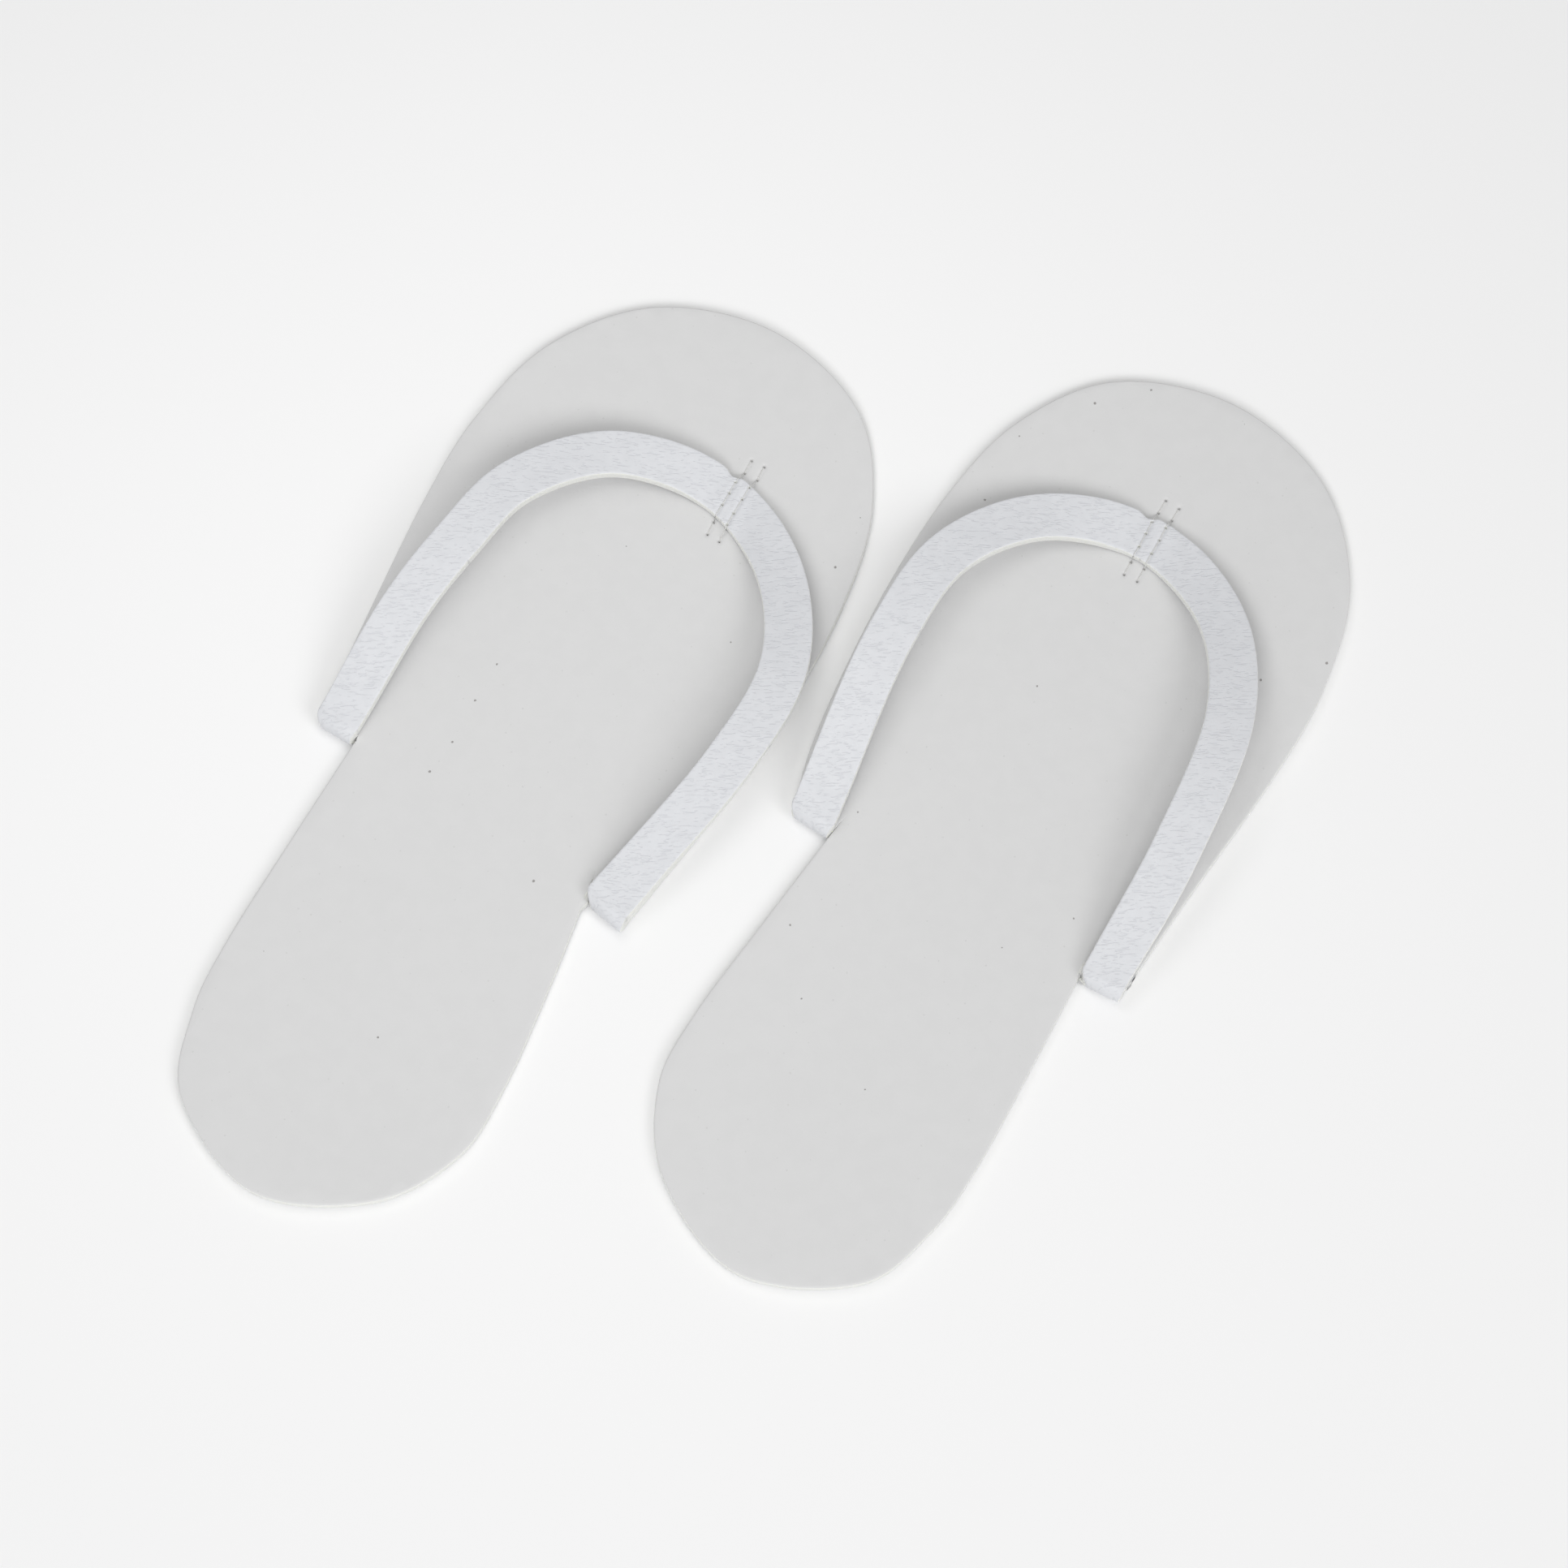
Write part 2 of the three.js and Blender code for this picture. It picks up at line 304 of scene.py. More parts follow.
def build_cells() -> bpy.types.ShaderNodeTree:
    """Closed cells under the skin: a fine even grain. Outputs Height and Mask."""
    group = EffectGroup("foam_cells", {"Scale": 1500.0, "Depth": 1.0}, ["Height", "Mask"])
    place = group.entry.outputs["Place"]
    cells = group.add("ShaderNodeTexVoronoi", feature="SMOOTH_F1")
    group.link(place, cells.inputs["Vector"])
    group.link(group.entry.outputs["Scale"], cells.inputs["Scale"])
    cells.inputs["Smoothness"].default_value = 0.6
    wander = group.noise(place, 140.0, 2.0)
    height = group.math("MULTIPLY", cells.outputs["Distance"], group.entry.outputs["Depth"])
    group.link(group.math("ADD", height, group.math("MULTIPLY", wander, 0.5)), group.exit.inputs["Height"])
    group.link(cells.outputs["Distance"], group.exit.inputs["Mask"])
    return group.tree


def build_pinholes() -> bpy.types.ShaderNodeTree:
    """Sparse burst bubbles in the skin. Output Mask is 1 in a hole."""
    group = EffectGroup("pinholes", {"Spacing": 60.0, "Size": 0.03, "Share": 0.3}, ["Mask"])
    place = group.entry.outputs["Place"]
    drift = group.add("ShaderNodeTexNoise")
    group.link(place, drift.inputs["Vector"])
    drift.inputs["Scale"].default_value = 900.0
    shaken = group.add("ShaderNodeVectorMath", operation="MULTIPLY_ADD")
    group.link(drift.outputs["Color"], shaken.inputs[0])
    shaken.inputs[1].default_value = (0.0004, 0.0004, 0.0004)
    group.link(place, shaken.inputs[2])
    dots = group.add("ShaderNodeTexVoronoi", feature="F1", voronoi_dimensions="2D")
    group.link(shaken.outputs[0], dots.inputs["Vector"])
    group.link(group.entry.outputs["Spacing"], dots.inputs["Scale"])
    picked = group.add("ShaderNodeSeparateColor")
    group.link(dots.outputs["Color"], picked.inputs[0])
    rare = group.math("LESS_THAN", picked.outputs[0], group.entry.outputs["Share"])
    size = group.math("MULTIPLY", group.entry.outputs["Size"], group.math("ADD", picked.outputs[1], 0.4))
    inside = group.math("LESS_THAN", dots.outputs["Distance"], size)
    group.link(group.math("MULTIPLY", rare, inside), group.exit.inputs["Mask"])
    return group.tree


def build_crinkle() -> bpy.types.ShaderNodeTree:
    """Short shallow wrinkles that run one way across the sheet's reverse. Outputs Height, and Mask, the
    dashes that take the wrinkles' painted shade.
    """
    values = {"Length": 450.0, "Slimness": 4.0, "Heading": math.radians(-29), "Cover": 0.8}
    group = EffectGroup("crinkle", values, ["Height", "Mask"])
    place = group.entry.outputs["Place"]
    turned = group.add("ShaderNodeVectorRotate", rotation_type="Z_AXIS")
    group.link(place, turned.inputs["Vector"])
    group.link(group.entry.outputs["Heading"], turned.inputs["Angle"])
    stretch = group.add("ShaderNodeCombineXYZ")
    group.link(group.entry.outputs["Length"], stretch.inputs[0])
    slim = group.math("MULTIPLY", group.entry.outputs["Length"], group.entry.outputs["Slimness"])
    group.link(slim, stretch.inputs[1])
    group.link(group.entry.outputs["Length"], stretch.inputs[2])
    scaled = group.add("ShaderNodeVectorMath", operation="MULTIPLY")
    group.link(turned.outputs[0], scaled.inputs[0])
    group.link(stretch.outputs[0], scaled.inputs[1])
    waves = group.add("ShaderNodeTexNoise")
    group.link(scaled.outputs[0], waves.inputs["Vector"])
    waves.inputs["Scale"].default_value = 1.0
    waves.inputs["Detail"].default_value = 1.0
    waves.inputs["Distortion"].default_value = 0.9
    patches = group.noise(place, 260.0, 1.0)
    level = group.math("SUBTRACT", 0.78, group.math("MULTIPLY", group.entry.outputs["Cover"], 0.4))
    cover = group.add("ShaderNodeMapRange", interpolation_type="SMOOTHSTEP")
    group.link(patches, cover.inputs["Value"])
    group.link(group.math("SUBTRACT", level, 0.16), cover.inputs["From Min"])
    group.link(group.math("ADD", level, 0.02), cover.inputs["From Max"])
    lines = group.ramp(waves.outputs["Fac"], 0.56, 0.68)
    dashes = group.math("MULTIPLY", lines, cover.outputs["Result"])
    group.link(dashes, group.exit.inputs["Mask"])
    soft = group.math("MULTIPLY", waves.outputs["Fac"], 0.35)
    group.link(group.math("ADD", dashes, soft), group.exit.inputs["Height"])
    return group.tree


def build_mottle() -> bpy.types.ShaderNodeTree:
    """Faint broad patches of lighter and darker foam. Output Mask is 0 to 1."""
    group = EffectGroup("mottle", {"Scale": 60.0}, ["Mask"])
    broad = group.noise(group.entry.outputs["Place"], group.entry.outputs["Scale"], 4.0)
    group.link(group.ramp(broad, 0.3, 0.7), group.exit.inputs["Mask"])
    return group.tree


@dataclass
class Effects:
    """The shared node groups, built once."""

    cells: bpy.types.ShaderNodeTree = field(default_factory=build_cells)
    pinholes: bpy.types.ShaderNodeTree = field(default_factory=build_pinholes)
    crinkle: bpy.types.ShaderNodeTree = field(default_factory=build_crinkle)
    mottle: bpy.types.ShaderNodeTree = field(default_factory=build_mottle)


# Finishes ----------------------------------------------------------------------------------------


class Finish:
    """A Principled material under construction, with short ways to add nodes."""

    def __init__(self, name: str) -> None:
        """Start a material with a Principled BSDF and the foam's rest places as its pattern space."""
        self.material = bpy.data.materials.new(name)
        self.material.use_nodes = True
        self.nodes = self.material.node_tree.nodes
        self.links = self.material.node_tree.links
        self.shader = self.nodes["Principled BSDF"]
        self.place = self._rest_place()

    def _rest_place(self) -> bpy.types.NodeSocket:
        """Read the "sheet" attribute, so that a pattern stays on the foam when it bends."""
        node = self.nodes.new("ShaderNodeAttribute")
        node.attribute_name = "sheet"
        return node.outputs["Vector"]

    def effect(self, tree: bpy.types.ShaderNodeTree, **values: float) -> bpy.types.Node:
        """Place a shared effect with its own values."""
        node = self.nodes.new("ShaderNodeGroup")
        node.node_tree = tree
        self.links.new(self.place, node.inputs["Place"])
        for label, value in values.items():
            node.inputs[label].default_value = value
        return node

    def mix(self, factor: bpy.types.NodeSocket, first: object, second: object) -> bpy.types.NodeSocket:
        """Mix two colours, each a socket or an RGB triple, by a factor."""
        node = self.nodes.new("ShaderNodeMix")
        node.data_type = "RGBA"
        self.links.new(factor, node.inputs["Factor"])
        for socket, value in ((node.inputs["A"], first), (node.inputs["B"], second)):
            if isinstance(value, bpy.types.NodeSocket):
                self.links.new(value, socket)
            else:
                socket.default_value = (*value, 1.0)
        return node.outputs["Result"]

    def translucent(self, reach: float) -> None:
        """Let light wander through the foam, as far as a reach."""
        self.shader.inputs["Subsurface Weight"].default_value = 1.0
        self.shader.inputs["Subsurface Radius"].default_value = (1.0, 1.0, 0.95)
        self.shader.inputs["Subsurface Scale"].default_value = reach

    def attribute(self, name: str) -> bpy.types.NodeSocket:
        """Read a number attribute of the piece."""
        node = self.nodes.new("ShaderNodeAttribute")
        node.attribute_name = name
        return node.outputs["Fac"]

    def relief(
        self, height: bpy.types.NodeSocket, distance: float, strength: float,
        under: bpy.types.NodeSocket | None = None,
    ) -> bpy.types.NodeSocket:
        """Add a Bump node, on top of another one if given, and return its normal."""
        node = self.nodes.new("ShaderNodeBump")
        node.inputs["Distance"].default_value = distance
        node.inputs["Strength"].default_value = strength
        self.links.new(height, node.inputs["Height"])
        if under is not None:
            self.links.new(under, node.inputs["Normal"])
        return node.outputs["Normal"]

    def roughness(self, factor: bpy.types.NodeSocket, low: float, high: float) -> None:
        """Vary the roughness from low to high with a factor."""
        node = self.nodes.new("ShaderNodeMapRange")
        self.links.new(factor, node.inputs["Value"])
        node.inputs["To Min"].default_value = low
        node.inputs["To Max"].default_value = high
        self.links.new(node.outputs["Result"], self.shader.inputs["Roughness"])


Colour = tuple[float, float, float]


@dataclass(frozen=True)
class SmoothFoam:
    """Smooth skin of the sheet, which the foot stands on."""

    light: Colour = (0.690, 0.690, 0.690)
    dark: Colour = (0.679, 0.679, 0.679)
    hole_shade: Colour = (0.33, 0.32, 0.31)
    # hole_shade: painted shade inside the needle holes and the burst pinholes.
    speck: Colour = (0.625, 0.625, 0.622)

    def build(self, effects: Effects) -> bpy.types.Material:
        """Make the material."""
        finish = Finish("foam_smooth_skin")
        mottle = finish.effect(effects.mottle, Scale=210.0)
        cells = finish.effect(effects.cells, Scale=1500.0, Depth=1.0)
        pits = finish.effect(effects.pinholes, Spacing=80.0, Size=0.020, Share=0.13)
        specks = finish.effect(effects.pinholes, Spacing=270.0, Size=0.05, Share=0.16)
        body = finish.mix(mottle.outputs["Mask"], self.dark, self.light)
        speckled = finish.mix(specks.outputs["Mask"], body, self.speck)
        # Paint the needle holes' shade, then the pinholes' shade, over the foam's colour.
        hole_shaded = finish.mix(finish.attribute("hole_shade"), speckled, self.hole_shade)
        finish.links.new(
            finish.mix(pits.outputs["Mask"], hole_shaded, self.hole_shade), finish.shader.inputs["Base Color"]
        )
        finish.roughness(mottle.outputs["Mask"], 0.62, 0.7)
        grain = finish.relief(cells.outputs["Height"], 0.00004, 0.35)
        finish.links.new(
            finish.relief(pits.outputs["Mask"], -0.0004, 0.8, grain), finish.shader.inputs["Normal"]
        )
        return finish.material


@dataclass(frozen=True)
class CrinkledFoam:
    """Crinkled reverse of the sheet, a little bluer, which shows on the strap and underneath."""

    light: Colour = (0.714, 0.724, 0.749)
    dark: Colour = (0.688, 0.698, 0.723)
    # line: painted shade in the crinkle's wrinkles, laid on the dashes of its Mask.
    line: Colour = (0.666, 0.676, 0.706)
    # hole_shade: painted shade inside the needle holes.
    hole_shade: Colour = (0.28, 0.28, 0.28)

    def build(self, effects: Effects) -> bpy.types.Material:
        """Make the material."""
        finish = Finish("foam_crinkled_reverse")
        mottle = finish.effect(effects.mottle, Scale=300.0)
        crinkle = finish.effect(effects.crinkle, Length=420.0, Slimness=4.5, Cover=1.5)
        cells = finish.effect(effects.cells, Scale=1700.0, Depth=0.6)
        body = finish.mix(mottle.outputs["Mask"], self.dark, self.light)
        # Paint the wrinkles' shade on the crinkle's dashes.
        crease_shaded = finish.mix(crinkle.outputs["Mask"], body, self.line)
        # Paint the needle holes' shade over the foam's colour.
        finish.links.new(
            finish.mix(finish.attribute("hole_shade"), crease_shaded, self.hole_shade), finish.shader.inputs["Base Color"]
        )
        finish.roughness(crinkle.outputs["Mask"], 0.6, 0.75)
        grain = finish.relief(cells.outputs["Height"], 0.00004, 0.3)
        finish.links.new(
            finish.relief(crinkle.outputs["Height"], -0.00007, 0.8, grain),
            finish.shader.inputs["Normal"],
        )
        return finish.material


@dataclass(frozen=True)
class CutFoam:
    """Die-cut wall of the sheet, where the cells are sliced open. It is a little creamier."""

    light: Colour = (0.815, 0.818, 0.792)
    dark: Colour = (0.740, 0.745, 0.715)
    reach: float = 0.8 * MM

    def build(self, effects: Effects) -> bpy.types.Material:
        """Make the material."""
        finish = Finish("foam_cut_wall")
        finish.translucent(self.reach)
        cells = finish.effect(effects.cells, Scale=2600.0, Depth=1.4)
        body = finish.mix(cells.outputs["Mask"], self.light, self.dark)
        finish.links.new(body, finish.shader.inputs["Base Color"])
        finish.roughness(cells.outputs["Mask"], 0.7, 0.85)
        finish.links.new(
            finish.relief(cells.outputs["Height"], 0.00012, 0.6), finish.shader.inputs["Normal"]
        )
        return finish.material


@dataclass(frozen=True)
class SewingThread:
    """White spun polyester thread."""

    light: Colour = (0.80, 0.80, 0.78)
    dark: Colour = (0.62, 0.62, 0.60)

    def build(self, effects: Effects) -> bpy.types.Material:
        """Make the material."""
        finish = Finish("sewing_thread")
        fibres = finish.effect(effects.cells, Scale=9000.0, Depth=1.0)
        finish.links.new(
            finish.mix(fibres.outputs["Mask"], self.light, self.dark), finish.shader.inputs["Base Color"]
        )
        finish.roughness(fibres.outputs["Mask"], 0.5, 0.7)
        finish.shader.inputs["Sheen Weight"].default_value = 0.3
        finish.links.new(
            finish.relief(fibres.outputs["Height"], 0.00003, 0.5), finish.shader.inputs["Normal"]
        )
        return finish.material


@dataclass
class Wardrobe:
    """Every finish of the slippers, built once."""

    effects: Effects = field(default_factory=Effects)

    def __post_init__(self) -> None:
        """Build the materials."""
        self.smooth = SmoothFoam().build(self.effects)
        self.crinkled = CrinkledFoam().build(self.effects)
        self.cut = CutFoam().build(self.effects)
        self.thread = SewingThread().build(self.effects)

    def dress_foam(self, piece: bpy.types.Object, skin_of: Callable[[bpy.types.MeshPolygon], Skin]) -> None:
        """Give a foam piece its three finishes.

        Args:
            piece: The piece to dress.
            skin_of: Says which face of the sheet a polygon belongs to.
        """
        piece.data.materials.clear()
        for material in (self.smooth, self.crinkled, self.cut):
            piece.data.materials.append(material)
        for polygon in piece.data.polygons:
            polygon.material_index = skin_of(polygon).value


# Slipper parts -----------------------------------------------------------------------------------


@dataclass
class SeamPlan:
    """Where the two rows of stitches of one slipper lie, worked out from the CAD threads."""

    side: Side
    stitches: int = 6
    hole_reach: float = 0.28 * MM
    stagger: float = 0.3 * MM
    hole_depth: float = 1.0 * MM

    def __post_init__(self) -> None:
        """Read the rows and the pad under them from the frame."""
        self.rows: dict[Arm, float] = {}
        for row in Arm:
            low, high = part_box(f"{self.side.value}_{row.value}_needle_thread")
            self.rows[row] = (low.x + high.x) / 2
            self.start, self.end = low.y, high.y
        low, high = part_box(f"{self.side.value}_thong_pad")
        self.middle = (low.x + high.x) / 2
        self.pad_half = (high.x - low.x) / 2

    @property
    def stitch(self) -> float:
        """Length of one stitch."""
        return (self.end - self.start) / self.stitches

    def row_holes(self, row: Arm) -> list[tuple[float, float]]:
        """Needle holes of one row as X, Y pairs, a little off the line as a hand-fed seam is."""
        x = self.rows[row]
        places = []
        for hole in range(self.stitches + 1):
            y = self.start + self.stitch * hole
            drift = noise.noise_vector(Vector((x * 900, y * 900, 0.5)))
            places.append((x + self.stagger * drift.x, y + 2 * self.stagger * drift.y))
        return places

    def holes(self) -> list[tuple[float, float]]:
        """Needle holes of both rows."""
        return [hole for row in Arm for hole in self.row_holes(row)]

    def hole_share(self, x: float, y: float) -> float:
        """How far a point is inside a needle hole, from 0 outside to 1 in the middle."""
        return max(bump(math.dist((x, y), hole), self.hole_reach) for hole in self.holes())

    def row_share(self, x: float, y: float, reach: float) -> float:
        """How strongly the thread presses the foam at a point, from 0 to 1."""
        past = max(self.start - y, y - self.end, 0.0)
        nearest = min(abs(x - row) for row in self.rows.values())
        return bump(math.hypot(nearest, past), reach)


@dataclass(frozen=True)
class FoldLie:
    """How one fold was laid by hand: its turn off square, and how round its two corners came out."""

    turn: float = 0.0
    free_corner: float = 1.0 * MM
    heel_corner: float = 1.0 * MM


FOLD_LIES = {
    (Side.LEFT, Arm.OUTER): FoldLie(turn=-3.0, free_corner=3.2 * MM, heel_corner=0.6 * MM),
    (Side.LEFT, Arm.INNER): FoldLie(turn=-12.0, free_corner=0.8 * MM, heel_corner=3.4 * MM),
    (Side.RIGHT, Arm.OUTER): FoldLie(turn=2.0, free_corner=0.9 * MM, heel_corner=3.0 * MM),
    (Side.RIGHT, Arm.INNER): FoldLie(turn=-5.0, free_corner=3.2 * MM, heel_corner=0.6 * MM),
}


@dataclass
class Footbed:
    """Sole of one slipper, with the two folds that turn the sheet back on itself."""

    side: Side
    seam: SeamPlan
    edge_radius: float = 0.5 * MM
    edge_segments: int = 3
    fold_steps: int = 18
    fold_joint_gap: float = 0.3 * MM
    slot_clearance: float = 0.8 * MM
    slot_opening: float = 0.9 * MM
    grid: float = 4 * MM
    seam_margin: float = 3.5 * MM
    seam_cuts: int = 15
    dent_reach: float = 0.7 * MM
    dent_depth: float = 0.22 * MM
    wave_height: float = 0.35 * MM
    wave_length: float = 55 * MM
    lie_reach: float = 14 * MM

    def __post_init__(self) -> None:
        """Read the sheet's thickness and the folds' places from the frame."""
        self.low, self.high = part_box(f"{self.side.value}_sole")
        self.thickness = self.high.z - self.low.z
        self.folds = {arm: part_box(f"{self.side.value}_{arm.value}_fold") for arm in Arm}

    def wing_y(self, arm: Arm) -> float:
        """Y where the sole's wing ends and its fold starts."""
        return self.folds[arm][1].y + self.fold_joint_gap

    def heelward(self, arm: Arm) -> int:
        """Sign of X from a fold towards the heel beside it."""
        low, high = self.folds[arm]
        return 1 if low.x + high.x < self.low.x + self.high.x else -1

    def wing_span(self, arm: Arm) -> tuple[float, float]:
        """X of a wing's free side, and of its slot beside the heel."""
        low, high = self.folds[arm]
        if self.heelward(arm) > 0:
            return low.x, high.x + self.slot_clearance
        return high.x, low.x - self.slot_clearance

    def fold_radius(self, arm: Arm) -> float:
        """Outside radius of a fold."""
        return self.folds[arm][1].y - self.folds[arm][0].y

    def on_fold(self, arm: Arm, place: Vector) -> bool:
        """True if a place is on a fold, rather than on the heel beside it or the wing ahead."""
        behind = self.wing_y(arm) - place.y
        radius = self.fold_radius(arm)
        if not -0.01 * MM < behind < radius + 0.5 * MM:
            return False
        free_x, slot_x = self.wing_span(arm)
        slot_middle = slot_x - self.heelward(arm) * self.slot_opening * min(1.0, behind / radius) / 2
        in_slot = (place.x - slot_middle) * self.heelward(arm) > 0
        return not in_slot and (place.x - free_x) * self.heelward(arm) > -MM

    def build(self, wardrobe: Wardrobe) -> bpy.types.Object:
        """Cut, fold, round and dent the sheet, and dress it."""
        piece = copy_of(f"{self.side.value}_sole", f"{self.side.value}_footbed")
        with Workbench(piece) as bench:
            self._cut_sheet(bench)
            for arm in Arm:
                self._turn_back(bench, arm)
            self._round_edges(bench)
            self._lay_grid(bench)
            self._refine_seam(bench)
        keep_sheet_places(piece)
        self._store_hole_shade(piece)
        wardrobe.dress_foam(piece, self._skin_of)
        with Workbench(piece) as bench:
            bench.move_points(self._settled)
        smooth_shade(piece, 40)
        return piece

    def _cut_sheet(self, bench: Workbench) -> None:
        """Keep the top face as one outline and thicken it downwards into a plain sheet."""
        level = self.high.z - 0.1 * MM
        bench.faces(lambda f: f.normal.z < 0.9 or f.calc_center_median().z < level)
        bpy.ops.mesh.delete(type="FACE")
        bench.everything()
        bpy.ops.mesh.dissolve_faces()
        bench.everything()
        bpy.ops.mesh.extrude_region_move(TRANSFORM_OT_translate={"value": (0, 0, -self.thickness)})
        bench.everything()
        bpy.ops.mesh.normals_make_consistent(inside=False)

    def _turn_back(self, bench: Workbench, arm: Arm) -> None:
        """Spin the end of one wing half a turn, up and over onto the footbed."""
        low, high = self.folds[arm]
        wing_y, radius = self.wing_y(arm), self.fold_radius(arm)
        sheet_points = len(bench.piece.data.vertices)
        bench.faces(
            lambda f: f.normal.y < -0.99
            and abs(f.calc_center_median().y - wing_y) < 0.05 * MM
            and low.x - MM < f.calc_center_median().x < high.x + MM
        )
        bpy.ops.mesh.spin(
            steps=self.fold_steps,
            angle=math.pi,
            center=(0, wing_y, (low.z + high.z) / 2),
            axis=(1, 0, 0),
            use_auto_merge=False,
        )
        slot_x = self.wing_span(arm)[1]
        mesh = bmesh.from_edit_mesh(bench.piece.data)
        for point in mesh.verts:
            if point.index >= sheet_points and abs(point.co.x - slot_x) < 0.1 * MM:
                turn = min(1.0, max(0.0, wing_y - point.co.y) / radius)
                point.co.x -= self.heelward(arm) * self.slot_opening * turn
        bmesh.update_edit_mesh(bench.piece.data)

    def _round_edges(self, bench: Workbench) -> None:
        """Round every cut edge, apart from the ends of the folds, where the strap goes on."""
        level = self.thickness + 0.1 * MM

        def cut_edge(edge: bmesh.types.BMEdge) -> bool:
            if len(edge.link_faces) != 2 or edge.calc_face_angle(0) < math.radians(50):
                return False
            joint = [f for f in edge.link_faces if f.normal.y > 0.9 and f.calc_center_median().z > level]
            return not joint

        bench.edges(cut_edge)
        bpy.ops.mesh.bevel(
            offset=self.edge_radius, segments=self.edge_segments, profile=0.5, affect="EDGES"
        )

    def laid(self, place: Vector) -> Vector:
        """Turn each fold off square and round its corners, seen from above.

        Args:
            place: A point of the footbed or of the strap.

        Returns:
            Where the point lies once the folds are pressed by hand.
        """
        for arm in Arm:
            lie = FOLD_LIES[self.side, arm]
            free_x, slot_x = self.wing_span(arm)
            middle, half = (free_x + slot_x) / 2, abs(free_x - slot_x) / 2
            away = abs(place.x - middle) - half
            ahead = place.y - self.wing_y(arm)
            on_fold = self.on_fold(arm, place)
            if not on_fold and (ahead < 0 or max(away, ahead) > self.lie_reach):
                continue
            if on_fold:
                place.x = self._rounded(arm, lie, place)
            share = 1 - smooth(max(ahead, 0.0) / self.lie_reach)
            share *= 1 - smooth(max(away, 0.0) / self.lie_reach)
            place.y += math.tan(math.radians(lie.turn)) * (place.x - middle) * share
        return place

    def _rounded(self, arm: Arm, lie: FoldLie, place: Vector) -> float:
        """X of a point of a fold once the fold's corners are round."""
        free_x, slot_x = self.wing_span(arm)
        span = abs(free_x - slot_x)
        depth = self.fold_radius(arm) - (self.wing_y(arm) - place.y)
        free_inset = corner_inset(lie.free_corner, depth)
        heel_inset = corner_inset(lie.heel_corner, depth)
        share = (place.x - slot_x) / (free_x - slot_x)
        inner = slot_x + (free_x - slot_x) * heel_inset / span
        return inner + (free_x - slot_x) * share * (span - free_inset - heel_inset) / span

    def _lay_grid(self, bench: Workbench) -> None:
        """Divide the flat faces into a grid, so that they can take dents and waves."""
        spans = ((0, self.low.x, self.high.x), (1, self.low.y, self.high.y))
        for axis, low, high in spans:
            direction = Vector((1, 0, 0)) if axis == 0 else Vector((0, 1, 0))
            for line in range(1, int((high - low) / self.grid)):
                bench.faces(lambda f: abs(f.normal.z) > 0.999 and not self._on_any_fold(f))
                place = Vector((self.low.x, self.low.y, 0)) + direction * self.grid * line
                bpy.ops.mesh.bisect(plane_co=place, plane_no=direction, use_fill=False)

    def _on_any_fold(self, face: bmesh.types.BMFace) -> bool:
        """True if a face belongs to one of the folds."""
        return any(self.on_fold(arm, face.calc_center_median()) for arm in Arm)

    def _refine_seam(self, bench: Workbench) -> None:
        """Divide the faces round the stitches finely enough for needle holes."""
        seam = self.seam
        reach = seam.pad_half - 2 * MM + self.seam_margin

        def near_seam(face: bmesh.types.BMFace) -> bool:
            place = face.calc_center_median()
            across = abs(place.x - seam.middle) < reach
            along = seam.start - self.seam_margin < place.y < seam.end + self.seam_margin
            return across and along and abs(face.normal.z) > 0.999

        bench.faces(near_seam)
        bpy.ops.mesh.subdivide(number_cuts=self.seam_cuts)

    def _store_hole_shade(self, piece: bpy.types.Object) -> None:
        """Store how much painted shade each point takes because it lies in a needle hole."""
        pits = piece.data.attributes.new("hole_shade", "FLOAT", "POINT")
        for index, point in enumerate(piece.data.vertices):
            pits.data[index].value = self.seam.hole_share(point.co.x, point.co.y)

    def _settled(self, place: Vector, normal: Vector) -> Vector:
        """Press the seam's dents and needle holes in, and let the sheet wave a little.

        Args:
            place: A point of the flat, folded sheet.
            normal: The normal there.

        Returns:
            Where the point settles.
        """
        seam = self.seam
        x, y = place.x, place.y
        press = self.dent_depth * seam.row_share(x, y, self.dent_reach)
        if normal.z > 0.9 and place.z < self.thickness + 0.1 * MM:
            place.z -= press + seam.hole_depth * seam.hole_share(x, y)
        elif normal.z < -0.9 and place.z < 0.1 * MM:
            place.z += press + 0.5 * seam.hole_depth * seam.hole_share(x, y)
        place.z += wave_height(x, y, self.wave_length, self.wave_height)
        return self.laid(place)

    def _skin_of(self, polygon: bpy.types.MeshPolygon) -> Skin:
        """Tell the face of the sheet from a polygon's place and normal."""
        place, normal = polygon.center, polygon.normal
        for arm in Arm:
            low, high = self.folds[arm]
            if self.on_fold(arm, place):
                centre = Vector((place.x, self.wing_y(arm), (low.z + high.z) / 2))
                outward = normal.dot((place - centre).normalized())
                if abs(outward) < 0.6:
                    return Skin.CUT
                return Skin.CRINKLED if outward > 0 else Skin.SMOOTH
        if abs(normal.z) < 0.7:
            return Skin.CUT
        return Skin.SMOOTH if normal.z > 0 else Skin.CRINKLED


def wave_height(x: float, y: float, length: float, height: float) -> float:
    """Gentle wave of the foam sheet, from 0 to its height.

    Args:
        x: Place across the pair.
        y: Place along the pair.
        length: Distance between waves.
        height: Height of the highest wave.

    Returns:
        Height over the floor.
    """
    level = noise.noise(Vector((x / length, y / length, 3.7)))
    return height * (0.5 + 0.5 * max(-1.0, min(1.0, 1.6 * level)))


